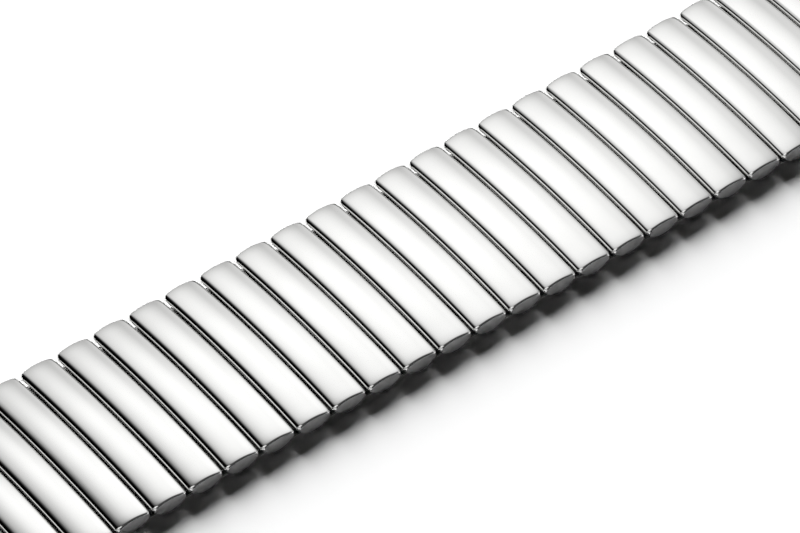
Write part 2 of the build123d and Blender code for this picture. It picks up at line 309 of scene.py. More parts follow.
def cap_outline():
    """Crown arc between two rolls of a bit less than a quarter circle, from the left waist to the
    right one: X, rise over the waist, and the outward normal at each point."""
    roll_end = math.pi / 2 - CROWN_EDGE
    left = np.linspace(math.pi, math.pi - roll_end, ROLL_STEPS)[:-1]
    crown = np.linspace(math.pi - roll_end, roll_end, CROWN_STEPS)
    right = np.linspace(roll_end, 0, ROLL_STEPS)[1:]
    middle = HALF_WIDTH - EDGE_ROLL
    radius = CROWN_HALF / math.sin(CROWN_EDGE)
    centre = CROWN_TOP - CAP_WAIST - radius
    x = np.concatenate(
        [-middle + EDGE_ROLL * np.cos(left), radius * np.cos(crown), middle + EDGE_ROLL * np.cos(right)]
    )
    rise = np.concatenate(
        [EDGE_ROLL * np.sin(left), centre + radius * np.sin(crown), EDGE_ROLL * np.sin(right)]
    )
    a = np.concatenate([left, crown, right])
    return x, rise, np.cos(a), np.sin(a)


def hollow_roof(x, y, sizes):
    """Ceiling of a top link's hollow: a parabola across it that follows the bow along it."""
    return WAIST + ROOF_RISE + ROOF_CROWN * (1 - (x / HOLLOW_HALF) ** 2) - bow_drop(y, sizes)


def end_rows(outline, sizes, side):
    """Outer and inner rows of one end, from the tab's lower edge to the last row of its rounded
    upper edge. The tab's face lies between the cap's outline and an arc through its corners, and
    the edge turns on a radius that grows with the eighth power of X towards them. Also that radius
    and X along the hollow's ceiling."""
    x, rise, nx, nz = outline
    half = sizes.band_width / MM / 2
    radius = (sizes.end_round + (sizes.corner_round - sizes.end_round) * (x / HALF_WIDTH) ** 8) / MM
    full_inset = radius * (1 - math.cos(EDGE_TURN))
    top_x = x - nx * full_inset
    top_z = CAP_WAIST - bow_drop(np.array(half), sizes) + rise - nz * full_inset
    corner, depth = abs(top_x[0]), top_z[0] - TAB_BOTTOM
    arc = (corner**2 + depth**2) / (2 * depth)
    low_z = top_z[0] - (np.sqrt(arc**2 - np.minimum(top_x**2, corner**2)) - (arc - depth))
    outer, inner = [], []
    for share, bevel in ((1, TAB_BEVEL), (0.94, 0), (0.7, 0), (0.4, 0)):
        z = top_z + (low_z - top_z) * share
        outer.append(row(top_x, side * (half - bevel), z))
        inner.append(row(top_x, side * (half - (TAB_SHEET - bevel)), z))
    inner_x = np.linspace(-1, 1, len(x)) * HOLLOW_HALF
    roof = hollow_roof(inner_x, np.array(half - TAB_SHEET), sizes)
    turns = np.linspace(EDGE_TURN, 0, 8)
    for number, turn in enumerate(turns, 1):
        inset = radius * (1 - math.cos(turn))
        y = half - radius * (math.sin(EDGE_TURN) - math.sin(turn))
        z = CAP_WAIST - bow_drop(y, sizes) + rise - nz * inset
        outer.append(row(x - nx * inset, side * y, z))
        share = number / len(turns)
        x_in, z_in = top_x + (inner_x - top_x) * share, top_z + (roof - top_z) * share
        inner.append(row(x_in, side * (half - TAB_SHEET), z_in))
    return outer, inner, radius, inner_x


def top_cap(sizes):
    """The cap's sheet in one skin: up the near tab, round the edge, along the bow and down the far
    tab outside, and the same way back inside. Rows lie closer towards the ends, on a sine."""
    outline = cap_outline()
    x, rise, _, _ = outline
    half = sizes.band_width / MM / 2
    near_out, near_in, radius, inner_x = end_rows(outline, sizes, -1)
    far_out, far_in, _, _ = end_rows(outline, sizes, 1)
    closeness = 0.92
    along = np.sin(np.linspace(-1, 1, 35) * math.pi / 2 * closeness) / math.sin(math.pi / 2 * closeness)
    outer, inner = list(near_out), list(near_in)
    for share in along[1:-1]:
        y = share * (half - radius)
        outer.append(row(x, y, CAP_WAIST - bow_drop(y, sizes) + rise))
        y_in = np.full_like(x, share * (half - TAB_SHEET))
        inner.append(row(inner_x, y_in, hollow_roof(inner_x, y_in, sizes)))
    outer += far_out[::-1]
    inner += far_in[::-1]
    return loft(np.concatenate([np.array(outer), np.array(inner)[:, ::-1]], 1))


def tube(sizes, right_foot=TUBE_FOOT, right_wall=True):
    """Floor and side walls below a cap: one U-shaped outline with rounded corners, carried along Y.
    The walls reach up into the cap and follow its bow. Without its right wall the floor ends at
    the right foot."""
    inset = 0.004
    wall_x = HALF_WIDTH - inset
    outer_reach, inner_reach = 0.02, 0.12
    lip, inner_lip = 0.02, 0.08
    hollow_right = HOLLOW_HALF if right_wall else right_foot - lip
    left_arc = corner_arc(-TUBE_FOOT, FLOOR_LEVEL, OUTER_CORNER, -1)
    right_arc = corner_arc(right_foot, FLOOR_LEVEL, OUTER_CORNER, 1)
    inner_left_arc = corner_arc(-HOLLOW_HALF, CAVITY_FLOOR, INNER_CORNER, -1)
    inner_right_arc = corner_arc(hollow_right, CAVITY_FLOOR, INNER_CORNER, 1)
    rows = []
    for y in np.linspace(-SLEEVE_HALF_LENGTH, SLEEVE_HALF_LENGTH, 19):
        top = CAP_WAIST - bow_drop(np.array(y), sizes)
        right_end = (wall_x, top + outer_reach) if right_wall else (right_foot, FLOOR_LEVEL + lip)
        inner_level = top + inner_reach if right_wall else CAVITY_FLOOR + inner_lip
        outer = np.concatenate([[(-wall_x, top + outer_reach)], left_arc, right_arc, [right_end]])
        inner = np.concatenate(
            [[(-HOLLOW_HALF, top + inner_reach)], inner_left_arc, inner_right_arc, [(hollow_right, inner_level)]]
        )
        loop = np.concatenate([outer, inner[::-1]])
        rows.append(row(loop[:, 0], y, loop[:, 1]))
    return loft(rows)


# Springs, sleeves and turned parts

def leaf(middle_level, tip_level):
    """Bowed leaf spring: a thin rounded strip along a parabola."""
    loop = rounded_loop(LEAF_HALF_WIDTH, LEAF_HALF_THICKNESS, LEAF_CORNER, 4)
    rows = []
    for y in np.linspace(-LEAF_HALF_LENGTH, LEAF_HALF_LENGTH, 25):
        level = middle_level + (tip_level - middle_level) * (y / LEAF_HALF_LENGTH) ** 2
        rows.append(row(loop[:, 0], y, level + loop[:, 1]))
    return loft(rows)


def sleeve():
    """Flat tube of the lower row: a rounded loop out along Y, round the bevelled rim and back inside."""
    middle = SLEEVE_TOP / 2
    outer, rim_out, rim_in, inner = (
        rounded_loop(SLEEVE_HALF_WIDTH - inset, middle - inset, SLEEVE_CORNER - inset, 8)
        for inset in (0, SLEEVE_RIM, SLEEVE_WALL - SLEEVE_RIM, SLEEVE_WALL)
    )
    end, edge = SLEEVE_HALF_LENGTH, SLEEVE_HALF_LENGTH - SLEEVE_RIM
    steps = [(outer, y) for y in np.linspace(-edge, edge, 7)] + [(rim_out, end), (rim_in, end)]
    steps += [(inner, y) for y in np.linspace(edge, -edge, 7)] + [(rim_in, -end), (rim_out, -end)]
    return loft([row(loop[:, 0], y, middle + loop[:, 1]) for loop, y in steps], ring=True)


def bow(upper_x, lower_x, side):
    """Connecting bow: a flat strip with round edges along a bent U, upper leg, bend, web, bend and
    lower leg. Over its height it leans from one X to the other, along a smooth step."""
    web, tip, bend, straight = 8.41, 5.6, 0.24, 0.2
    half_width, half_thickness, edge = 0.25, 0.11, 0.105
    turn = np.linspace(0, math.pi / 2, 6)
    upper_y = np.concatenate([[tip, (tip + web) / 2, web - bend - straight], web - bend + bend * np.sin(turn)])
    upper_z = np.concatenate([[UPPER_LEG_LEVEL] * 3, UPPER_LEG_LEVEL - bend + bend * np.cos(turn)])
    lower_y = upper_y[::-1]
    lower_z = (UPPER_LEG_LEVEL + LOWER_LEG_LEVEL - upper_z)[::-1]
    y, z = np.concatenate([upper_y, lower_y]), np.concatenate([upper_z, lower_z])
    share = np.clip((z - LOWER_LEG_LEVEL) / (UPPER_LEG_LEVEL - LOWER_LEG_LEVEL), 0, 1)
    x = lower_x + (upper_x - lower_x) * share * share * (3 - 2 * share)
    run_y, run_z = np.gradient(y), np.gradient(z)
    size = np.hypot(run_y, run_z)
    normal_y, normal_z = -run_z / size, run_y / size
    loop = rounded_loop(half_width, half_thickness, edge, 3)
    rows = np.empty((len(y), len(loop), 3))
    rows[..., 0] = x[:, None] + loop[None, :, 0]
    rows[..., 1] = side * (y[:, None] + normal_y[:, None] * loop[None, :, 1])
    rows[..., 2] = z[:, None] + normal_z[:, None] * loop[None, :, 1]
    return loft(rows)


def lathe(profile, centre, ring=False):
    """Profile of radius and Y turned round a line along Y."""
    profile = np.asarray(profile, float)
    a = np.linspace(0, 2 * math.pi, 40, endpoint=False)
    rows = np.empty((len(profile), len(a), 3))
    rows[..., 0] = centre[0] + profile[:, :1] * np.cos(a)
    rows[..., 1] = profile[:, 1:]
    rows[..., 2] = centre[1] + profile[:, :1] * np.sin(a)
    return loft(rows, ring)


def coil(centre, half_length, radius, wire, turns):
    """Round wire along a helix about Y, with two closed turns at each end, whose pitch is end_pitch
    times the wire's radius."""
    end_turns, end_pitch, steps_per_turn = 2, 2.1, 14
    all_turns = turns + 2 * end_turns
    t = np.linspace(0, 1, int(all_turns) * steps_per_turn + 1)
    angle = 2 * math.pi * all_turns * t
    ends = end_turns / all_turns
    body = np.clip((t - ends) / (1 - 2 * ends), 0, 1)
    closed = end_turns * end_pitch * wire
    y = -half_length + np.minimum(t / ends, 1) * closed + body * (2 * half_length - 2 * closed)
    y = y + np.clip((t - 1 + ends) / ends, 0, 1) * closed
    centre_line = np.stack([radius * np.cos(angle), y, radius * np.sin(angle)], -1)
    out = np.stack([np.cos(angle), np.zeros_like(angle), np.sin(angle)], -1)
    run = np.gradient(centre_line, axis=0)
    run /= np.linalg.norm(run, axis=1, keepdims=True)
    side = np.cross(run, out)
    a = np.linspace(0, 2 * math.pi, 8, endpoint=False)
    around = np.cos(a)[None, :, None] * out[:, None] + np.sin(a)[None, :, None] * side[:, None]
    rows = centre_line[:, None] + wire * around
    rows[..., 0] += centre[0]
    rows[..., 2] += centre[1]
    return loft(rows)


# End links

def end_upper_outline():
    """Left roll and half crown of a link, then a straight slope to the nose and the nose's half
    circle: X, Z, how much of the lengthwise bow each point takes, and the outward normal."""
    x, rise, nx, nz = cap_outline()
    keep = x < 0.0001
    slope_x = np.linspace(0, NOSE_X, SLOPE_STEPS + 1)[1:]
    slope_end = NOSE_Z + NOSE_RADIUS
    slope_z = CROWN_TOP + (slope_end - CROWN_TOP) * slope_x / NOSE_X
    a = np.linspace(math.pi / 2, -math.pi / 2, NOSE_STEPS + 1)[1:]
    lean = math.atan2(CROWN_TOP - slope_end, NOSE_X)
    px = np.concatenate([x[keep], slope_x, NOSE_X + NOSE_RADIUS * np.cos(a)])
    pz = np.concatenate([CAP_WAIST + rise[keep], slope_z, NOSE_Z + NOSE_RADIUS * np.sin(a)])
    take = np.concatenate([np.ones(keep.sum()), 1 - slope_x / NOSE_X, np.zeros(NOSE_STEPS)])
    qx = np.concatenate([nx[keep], np.full(SLOPE_STEPS, math.sin(lean)), np.cos(a)])
    qz = np.concatenate([nz[keep], np.full(SLOPE_STEPS, math.cos(lean)), np.sin(a)])
    return px, pz, take, qx, qz


def end_cover(sizes):
    """Folded sheet of an end link: the upper outline and a straight stretch of the underside,
    outside and inside, carried from end plate to end plate. It is thickest along the crown."""
    px, pz, take, qx, qz = end_upper_outline()
    under = np.linspace(0, 1, 7)[1:]
    foot_x = 1.55
    run_x, run_z = foot_x - NOSE_X, FLOOR_LEVEL - NOSE_Z + NOSE_RADIUS
    run = math.hypot(run_x, run_z)
    x = np.concatenate([px, NOSE_X + run_x * under])
    z = np.concatenate([pz, NOSE_Z - NOSE_RADIUS + run_z * under])
    weight = np.concatenate([take, np.zeros_like(under)])
    nx = np.concatenate([qx, np.full_like(under, -run_z / run)])
    nz = np.concatenate([qz, np.full_like(under, run_x / run)])
    nose = len(px) - NOSE_STEPS
    waist_wall, crown_wall, nose_wall, gap = 0.3, 0.34, 0.14, 0.2
    marks = [0, ROLL_STEPS - 1, nose - SLOPE_STEPS, nose]
    wall = np.interp(np.arange(len(x)), marks, [waist_wall, crown_wall, crown_wall, nose_wall])
    reach = END_HALF_WIDTH - gap
    rows = []
    for y in np.linspace(-reach, reach, 33):
        drop = weight * bow_drop(np.array(y), sizes)
        outer = row(x, y, z - drop)
        inner = row(x - nx * wall, y, z - drop - nz * wall)
        rows.append(np.concatenate([outer, inner[::-1]]))
    return loft(rows)


def end_plate(sizes, side):
    """Plate at one end of an end link, with the spring bar's bore. Below the nose its outline goes
    on along a line and along a quadratic curve back to the waist. Outline and bore are matched point
    for point, out over the face, round the edge, back inside and through the bore."""
    px, pz, take, qx, qz = end_upper_outline()
    drop = sizes.end_drop / MM + sizes.shoulder_drop / MM
    low = np.linspace(0, 1, 9)[1:]
    join_x, join_z = 0.6, 0.45
    line_x = NOSE_X + (join_x - NOSE_X) * low
    line_z = NOSE_Z - NOSE_RADIUS + (join_z - NOSE_Z + NOSE_RADIUS) * low
    t = np.linspace(0, 1, 14)[1:-1]
    pull_x, pull_z = -1.15, 0.42
    corner_x, corner_z = px[0], pz[0] - drop
    arc_x = (1 - t) ** 2 * join_x + 2 * t * (1 - t) * pull_x + t**2 * corner_x
    arc_z = (1 - t) ** 2 * join_z + 2 * t * (1 - t) * pull_z + t**2 * corner_z
    x = np.concatenate([px, line_x, arc_x])
    z = np.concatenate([pz - take * drop, line_z, arc_z])
    nx = np.concatenate([qx, np.zeros_like(low), np.linspace(-0.2, -0.9, len(t))])
    nz = np.concatenate([qz, -np.ones_like(low), np.linspace(-0.95, -0.2, len(t))])
    size, nose = len(x), len(px) - NOSE_STEPS
    marks = [0, nose - 1, len(px) - 1, len(px) + len(low) - 1, size]
    bore = np.interp(np.arange(size), marks, [math.radians(a) for a in (172, 90, -90, -165, -188)])
    hole_x, hole_z = NOSE_X + BORE_RADIUS * np.cos(bore), NOSE_Z + BORE_RADIUS * np.sin(bore)
    upper_round, lower_round, bore_bevel = 0.22, 0.06, 0.03
    round_off = np.where(np.arange(size) < nose, upper_round, lower_round)
    round_off = np.convolve(np.pad(round_off, 3, mode="wrap"), np.ones(7) / 7, "valid")
    rows = []
    for share in (0.0, 0.04, 0.35, 0.7):
        face_x = hole_x + (x - nx * round_off - hole_x) * share
        face_z = hole_z + (z - nz * round_off - hole_z) * share
        rows.append(row(face_x, side * (END_HALF_WIDTH - (0 if share else bore_bevel)), face_z))
    for turn in np.linspace(math.pi / 2, 0, 7):
        inset = round_off * (1 - math.cos(turn))
        y = END_HALF_WIDTH - round_off * (1 - math.sin(turn))
        rows.append(row(x - nx * inset, side * y, z - nz * inset))
    back = END_HALF_WIDTH - TAB_SHEET
    rows.append(row(x, side * back, z))
    rows.append(row(hole_x, side * back, hole_z))
    return loft(rows, ring=True)


# Materials

def new_material(name):
    """Bare metal, with its node tree and shader."""
    material = bpy.data.materials.new(name)
    material.use_nodes = True
    tree = material.node_tree
    shader = tree.nodes["Principled BSDF"]
    shader.inputs["Metallic"].default_value = 1.0
    return material, tree, shader


def noise(tree, scale, detail, stretch):
    """Noise on Object coordinates, which are metres here. A small stretch along an axis draws the
    pattern out into a grain along it."""
    coords = tree.nodes.new("ShaderNodeTexCoord")
    mapping = tree.nodes.new("ShaderNodeMapping")
    mapping.inputs["Scale"].default_value = stretch
    tree.links.new(coords.outputs["Object"], mapping.inputs["Vector"])
    texture = tree.nodes.new("ShaderNodeTexNoise")
    texture.inputs["Scale"].default_value = scale
    texture.inputs["Detail"].default_value = detail
    tree.links.new(mapping.outputs["Vector"], texture.inputs["Vector"])
    return texture.outputs["Fac"]


def spread(tree, value, low, high):
    """Takes the middle stretch of a noise to the range from low to high."""
    node = tree.nodes.new("ShaderNodeMapRange")
    tree.links.new(value, node.inputs["Value"])
    for name, number in (("From Min", 0.3), ("From Max", 0.7), ("To Min", low), ("To Max", high)):
        node.inputs[name].default_value = number
    return node.outputs["Result"]


def tint(tree, value, low, high):
    """Colour between two close shades of the metal."""
    ramp = tree.nodes.new("ShaderNodeValToRGB")
    ramp.color_ramp.elements[0].position = 0.3
    ramp.color_ramp.elements[0].color = (*low, 1)
    ramp.color_ramp.elements[1].position = 0.7
    ramp.color_ramp.elements[1].color = (*high, 1)
    tree.links.new(value, ramp.inputs["Fac"])
    return ramp.outputs["Color"]


def bump(tree, shader, height, strength, distance):
    """Fine relief on the shader, with distance in metres."""
    node = tree.nodes.new("ShaderNodeBump")
    node.inputs["Strength"].default_value = strength
    node.inputs["Distance"].default_value = distance
    tree.links.new(height, node.inputs["Height"])
    tree.links.new(node.outputs["Normal"], shader.inputs["Normal"])


def shades(colour, share):
    """A colour made darker and lighter by the same share."""
    return [c * (1 - share) for c in colour], [min(1, c * (1 + share)) for c in colour]


def polished_steel(name, colour):
    """Mirror polish: a soft ripple, a faint mottle in colour and polishing lines across the band."""
    material, tree, shader = new_material(name)
    low, high = shades(colour, 0.02)
    mottle = noise(tree, scale=260, detail=3, stretch=(1, 1, 1))
    tree.links.new(tint(tree, mottle, low, high), shader.inputs["Base Color"])
    lines = noise(tree, scale=900, detail=4, stretch=(6, 0.35, 6))
    tree.links.new(spread(tree, lines, 0.045, 0.1), shader.inputs["Roughness"])
    ripple = noise(tree, scale=190, detail=2, stretch=(1, 0.5, 1))
    bump(tree, shader, ripple, strength=0.12, distance=0.00001)
    return material


def brushed_steel(name, colour, rough=0.3):
    """Satin finish: fine grain across the band in colour, roughness and height."""
    material, tree, shader = new_material(name)
    low, high = shades(colour, 0.12)
    grain = noise(tree, scale=1500, detail=5, stretch=(5, 0.12, 5))
    tree.links.new(tint(tree, grain, low, high), shader.inputs["Base Color"])
    tree.links.new(spread(tree, grain, rough - 0.08, rough + 0.1), shader.inputs["Roughness"])
    bump(tree, shader, grain, strength=0.25, distance=0.000006)
    return material


def satin_and_shade_steel(name, colour):
    """Blanked end faces, left dull, with a darker colour that is painted shade: fine even specks in colour,
    roughness and height.
    """
    material, tree, shader = new_material(name)
    low, high = shades(colour, 0.1)
    specks = noise(tree, scale=2600, detail=4, stretch=(1, 1, 1))
    tree.links.new(tint(tree, specks, low, high), shader.inputs["Base Color"])
    tree.links.new(spread(tree, specks, 0.34, 0.48), shader.inputs["Roughness"])
    bump(tree, shader, specks, strength=0.15, distance=0.000004)
    return material


def turned_steel(name, colour):
    """Turned finish: fine rings along the bar's length."""
    material, tree, shader = new_material(name)
    low, high = shades(colour, 0.08)
    rings = noise(tree, scale=1400, detail=4, stretch=(0.3, 9, 0.3))
    tree.links.new(tint(tree, rings, low, high), shader.inputs["Base Color"])
    tree.links.new(spread(tree, rings, 0.14, 0.28), shader.inputs["Roughness"])
    bump(tree, shader, rings, strength=0.2, distance=0.000004)
    return material


def finish(name):
    """One of the band's own materials, made when it is first asked for."""
    found = bpy.data.materials.get(name)
    if found:
        return found
    colours = bpy.context.scene.band_colours
    makers = {
        "Polished_steel": lambda: polished_steel(name, colours.polished),
        "Brushed_steel": lambda: brushed_steel(name, colours.brushed),
        # End faces: satin finish, darker in colour as painted shade
        "Satin_and_shade_steel": lambda: satin_and_shade_steel(name, colours.satin_and_shade),
        "Spring_steel": lambda: brushed_steel(name, colours.spring, rough=0.24),
        "Turned_steel": lambda: turned_steel(name, colours.turned),
    }
    return makers[name]()


# Operators

class BAND_OT_top_links(bpy.types.Operator):
    """Crowned caps on flat tubes, with their leaf springs"""

    bl_idname = "band.top_links"
    bl_label = "Top links"

    def execute(self, context):
        sizes = context.scene.band_sizes
        pitch = sizes.link_pitch / MM
        end_level = sizes.band_width / MM / 2 - FACE_MARGIN
        shell = [top_cap(sizes), tube(sizes)]
        spring = leaf(*TOP_LEAF_LEVELS)
        for number in range(1, TOP_LINKS + 1):
            x = (number - LINKS_PER_HALF - 0.5) * pitch
            name = f"top_link_{number:02d}"
            lean = math.radians(LEANS[number - 1])
            add_piece(
                f"Cover_{number:02d}", place(shell, (x, 0, 0), tilt=lean), finish("Polished_steel"),
                name, [name], finish("Satin_and_shade_steel"), end_level,
            )
            strip = place([spring], (x, 0, 0), tilt=lean)
            add_piece(f"Top_leaf_{number:02d}", strip, finish("Spring_steel"), name)
        return {"FINISHED"}


class BAND_OT_bottom_links(bpy.types.Operator):
    """Flat tubes of the lower row, with their leaf springs and connecting bows"""

    bl_idname = "band.bottom_links"
    bl_label = "Bottom links"

    def execute(self, context):
        pitch = context.scene.band_sizes.link_pitch / MM
        casing = sleeve()
        spring = leaf(*BOTTOM_LEAF_LEVELS)
        turning = [bow(*TURNING_LEGS, side) for side in (-1, 1)]
        sliding = [bow(*SLIDING_LEGS, side) for side in (-1, 1)]
        for number in range(1, BOTTOM_LINKS + 1):
            steps = number - LINKS_PER_HALF - 1
            shift = (steps * pitch, 0, 0)
            name = f"bottom_link_{number:02d}"
            add_piece(
                f"Sleeve_{number:02d}", place([casing], shift), finish("Brushed_steel"),
                name, [name],
            )
            strip = place([spring], shift)
            add_piece(f"Bottom_leaf_{number:02d}", strip, finish("Spring_steel"), name)
            if steps:
                bows = place(turning + sliding, shift, mirrored=steps < 0)
            else:
                bows = place(turning) + place(turning, mirrored=True)
            add_piece(f"Bows_{number:02d}", bows, finish("Spring_steel"), name)
        return {"FINISHED"}


class BAND_OT_end_links(bpy.types.Operator):
    """Folded end links that hold the spring bars"""

    bl_idname = "band.end_links"
    bl_label = "End links"

    def execute(self, context):
        sizes = context.scene.band_sizes
        middle = (LINKS_PER_HALF + 0.5) * sizes.link_pitch / MM
        shell = [end_cover(sizes), end_plate(sizes, -1), end_plate(sizes, 1)]
        shell.append(tube(sizes, END_TUBE_FOOT, right_wall=False))
        spring = leaf(*TOP_LEAF_LEVELS)
        for name, sign in (("left", -1), ("right", 1)):
            body = f"{name}_end_link"
            shift = (sign * middle, 0, 0)
            add_piece(
                f"End_cover_{name}", place(shell, shift, mirrored=sign < 0), finish("Polished_steel"),
                body, [body], finish("Satin_and_shade_steel"), END_HALF_WIDTH - FACE_MARGIN,
            )
            strip = place([spring], shift)
            add_piece(f"End_leaf_{name}", strip, finish("Spring_steel"), body)
        return {"FINISHED"}


class BAND_OT_spring_bars(bpy.types.Operator):
    """Spring bars: barrels, coils and sliding tips"""

    bl_idname = "band.spring_bars"
    bl_label = "Spring bars"

    def execute(self, context):
        shift = (LINKS_PER_HALF + 0.5) * context.scene.band_sizes.link_pitch / MM + NOSE_X
        for name, sign in (("left", -1), ("right", 1)):
            centre = (sign * shift, NOSE_Z)
            bar = f"{name}_spring_bar"
            barrel = lathe(BARREL_PROFILE, centre, ring=True)
            add_piece(
                f"Barrel_{name}", [barrel], finish("Turned_steel"), bar, [f"{bar}_barrel"]
            )
            wire = coil(centre, half_length=7.19, radius=0.42, wire=0.09, turns=16)
            spring = add_piece(
                f"Coil_{name}", [wire], finish("Spring_steel"), bar, [f"{bar}_coil"]
            )
            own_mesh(spring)
            for end, side in (("near", -1), ("far", 1)):
                tip = lathe([(radius, side * y) for radius, y in TIP_PROFILE], centre)
                node = f"{bar}_{end}_tip"
                add_piece(f"Tip_{name}_{end}", [tip], finish("Turned_steel"), node, [node])
        return {"FINISHED"}


def direction(turn, rise):
    """Unit vector from the band towards what lies behind it, turned to the right and raised."""
    return Vector((math.sin(turn) * math.cos(rise), math.cos(turn) * math.cos(rise), math.sin(rise)))


def seen_directly(tree):
    """1 for rays from the camera and for those mirrored or refracted towards it."""
    path = tree.nodes.new("ShaderNodeLightPath")
    total = path.outputs["Is Camera Ray"]
    for name in ("Is Glossy Ray", "Is Transmission Ray"):
        node = tree.nodes.new("ShaderNodeMath")
        node.operation = "MAXIMUM"
        tree.links.new(total, node.inputs[0])
        tree.links.new(path.outputs[name], node.inputs[1])
        total = node.outputs[0]
    return total


class BAND_OT_stage(bpy.types.Operator):
    """White table, soft panel behind the band, surroundings, window light and camera"""

    bl_idname = "band.stage"
    bl_label = "Stage"

    table_gain: bpy.props.FloatProperty(
        name="Table as seen", description="Table colour as the camera sees it", default=1.06
    )
    sky_level: bpy.props.FloatProperty(
        name="Sky level", description="Light of the room behind the band", default=0.56
    )
    panel_level: bpy.props.FloatProperty(
        name="Panel level", description="Light of the soft panel", default=0.96
    )
    front_level: bpy.props.FloatProperty(
        name="Front level", description="Light of the room on both sides of the camera", default=0.5
    )
    window_level: bpy.props.FloatProperty(
        name="Window level", description="Light that falls on the table from behind", default=1.0
    )

    def add_plane(self, name, centre, side, up, half_side, half_up, material):
        """One rectangle of the stage, from its centre and its half sides along two directions."""
        corners = [
            centre + side * half_side * a + up * half_up * b for a, b in ((-1, -1), (1, -1), (1, 1), (-1, 1))
        ]
        mesh = bpy.data.meshes.new(name)
        mesh.from_pydata([tuple(c) for c in corners], [], [(0, 1, 2, 3)])
        uv = mesh.uv_layers.new(name="UVMap")
        uv.data.foreach_set("uv", [0, 0, 1, 0, 1, 1, 0, 1])
        mesh.materials.append(material)
        obj = bpy.data.objects.new(name, mesh)
        bpy.context.scene.collection.objects.link(obj)
        return obj

    def add_table(self, colours):
        """White table, a little lighter to the camera and in the steel than as a light on the band."""
        table = bpy.data.materials.new("White_table")
        table.use_nodes = True
        tree = table.node_tree
        tree.nodes.remove(tree.nodes["Principled BSDF"])
        diffuse = tree.nodes.new("ShaderNodeBsdfDiffuse")
        mix = tree.nodes.new("ShaderNodeMix")
        mix.data_type = "RGBA"
        mix.inputs["A"].default_value = (*colours.table, 1)
        mix.inputs["B"].default_value = (self.table_gain, self.table_gain, self.table_gain, 1)
        tree.links.new(seen_directly(tree), mix.inputs["Factor"])
        tree.links.new(mix.outputs["Result"], diffuse.inputs["Color"])
        tree.links.new(diffuse.outputs["BSDF"], tree.nodes["Material Output"].inputs["Surface"])
        half_size = 3
        self.add_plane(
            "Table", Vector((0, 0, 0)), Vector((1, 0, 0)), Vector((0, 1, 0)), half_size, half_size, table
        )

    def add_panel(self):
        """Panel over the band, behind it and to the right. Its emission falls off smoothly towards
        its edges and adds to what is behind it. Lengths are in metres and angles in radians."""
        turn, rise, distance, roll = 0.724, 0.968, 0.0725, 0.498
        half_side, soft_side, half_up, soft_up, shift_up = 0.0565, 0.0283, 0.0347, 0.0166, -0.0075
        reach_side, reach_up = half_side + 3 * soft_side, half_up + 3 * soft_up
        towards = direction(turn, rise)
        level_side = Vector((math.cos(turn), -math.sin(turn), 0))
        level_up = towards.cross(level_side)
        side = level_side * math.cos(roll) + level_up * math.sin(roll)
        up = level_up * math.cos(roll) - level_side * math.sin(roll)
        glow = bpy.data.materials.new("Soft_panel")
        glow.use_nodes = True
        tree = glow.node_tree
        tree.nodes.remove(tree.nodes["Principled BSDF"])
        coords = tree.nodes.new("ShaderNodeTexCoord")
        split = tree.nodes.new("ShaderNodeSeparateXYZ")
        tree.links.new(coords.outputs["UV"], split.inputs[0])

        def calculate(operation, first, *others):
            node = tree.nodes.new("ShaderNodeMath")
            node.operation = operation
            tree.links.new(first, node.inputs[0])
            for socket, other in zip(node.inputs[1:], others):
                if isinstance(other, float):
                    socket.default_value = other
                else:
                    tree.links.new(other, socket)
            return node.outputs[0]

        def fade(place, half, soft, reach):
            """Difference of two hyperbolic tangents, one step up at each edge: 2 inside, 0 outside."""
            steps = [
                calculate("TANH", calculate("MULTIPLY_ADD", place, 2 * reach / soft, (edge - reach) / soft))
                for edge in (half, -half)
            ]
            return calculate("SUBTRACT", *steps)

        both = calculate(
            "MULTIPLY",
            fade(split.outputs[0], half_side, soft_side, reach_side),
            fade(split.outputs[1], half_up, soft_up, reach_up),
        )
        level = calculate("MULTIPLY", both, self.panel_level / 4)
        emission = tree.nodes.new("ShaderNodeEmission")
        tree.links.new(level, emission.inputs["Strength"])
        clear = tree.nodes.new("ShaderNodeBsdfTransparent")
        add = tree.nodes.new("ShaderNodeAddShader")
        tree.links.new(emission.outputs[0], add.inputs[0])
        tree.links.new(clear.outputs[0], add.inputs[1])
        tree.links.new(add.outputs[0], tree.nodes["Material Output"].inputs["Surface"])
        centre = towards * distance + up * shift_up
        panel = self.add_plane("Soft_panel", centre, side, up, reach_side, reach_up, glow)
        panel.visible_camera = False
        panel.visible_shadow = False
        panel.visible_diffuse = False

    def add_surroundings(self):
        """Room that only the steel mirrors: light from behind and the right and from both sides of
        the camera, and white to the camera itself."""
        world = bpy.data.worlds.new("Room")
        bpy.context.scene.world = world
        world.use_nodes = True
        tree = world.node_tree
        background = tree.nodes["Background"]
        background.inputs["Color"].default_value = (1, 1, 1, 1)
        coords = tree.nodes.new("ShaderNodeTexCoord")
        split = tree.nodes.new("ShaderNodeSeparateXYZ")
        tree.links.new(coords.outputs["Generated"], split.inputs[0])

        def calculate(operation, first, second):
            node = tree.nodes.new("ShaderNodeMath")
            node.operation = operation
            tree.links.new(first, node.inputs[0])
            tree.links.new(second, node.inputs[1])
            return node.outputs[0]

        def patch(level, *edges):
            """A soft step along each named axis of the direction, from nothing to full, multiplied."""
            product = None
            for axis, start, end in edges:
                node = tree.nodes.new("ShaderNodeMapRange")
                node.interpolation_type = "SMOOTHSTEP"
                tree.links.new(split.outputs[axis], node.inputs["Value"])
                top = 1 if product else level
                for name, number in (("From Min", start), ("From Max", end), ("To Max", top)):
                    node.inputs[name].default_value = number
                result = node.outputs["Result"]
                product = calculate("MULTIPLY", product, result) if product else result
            return product

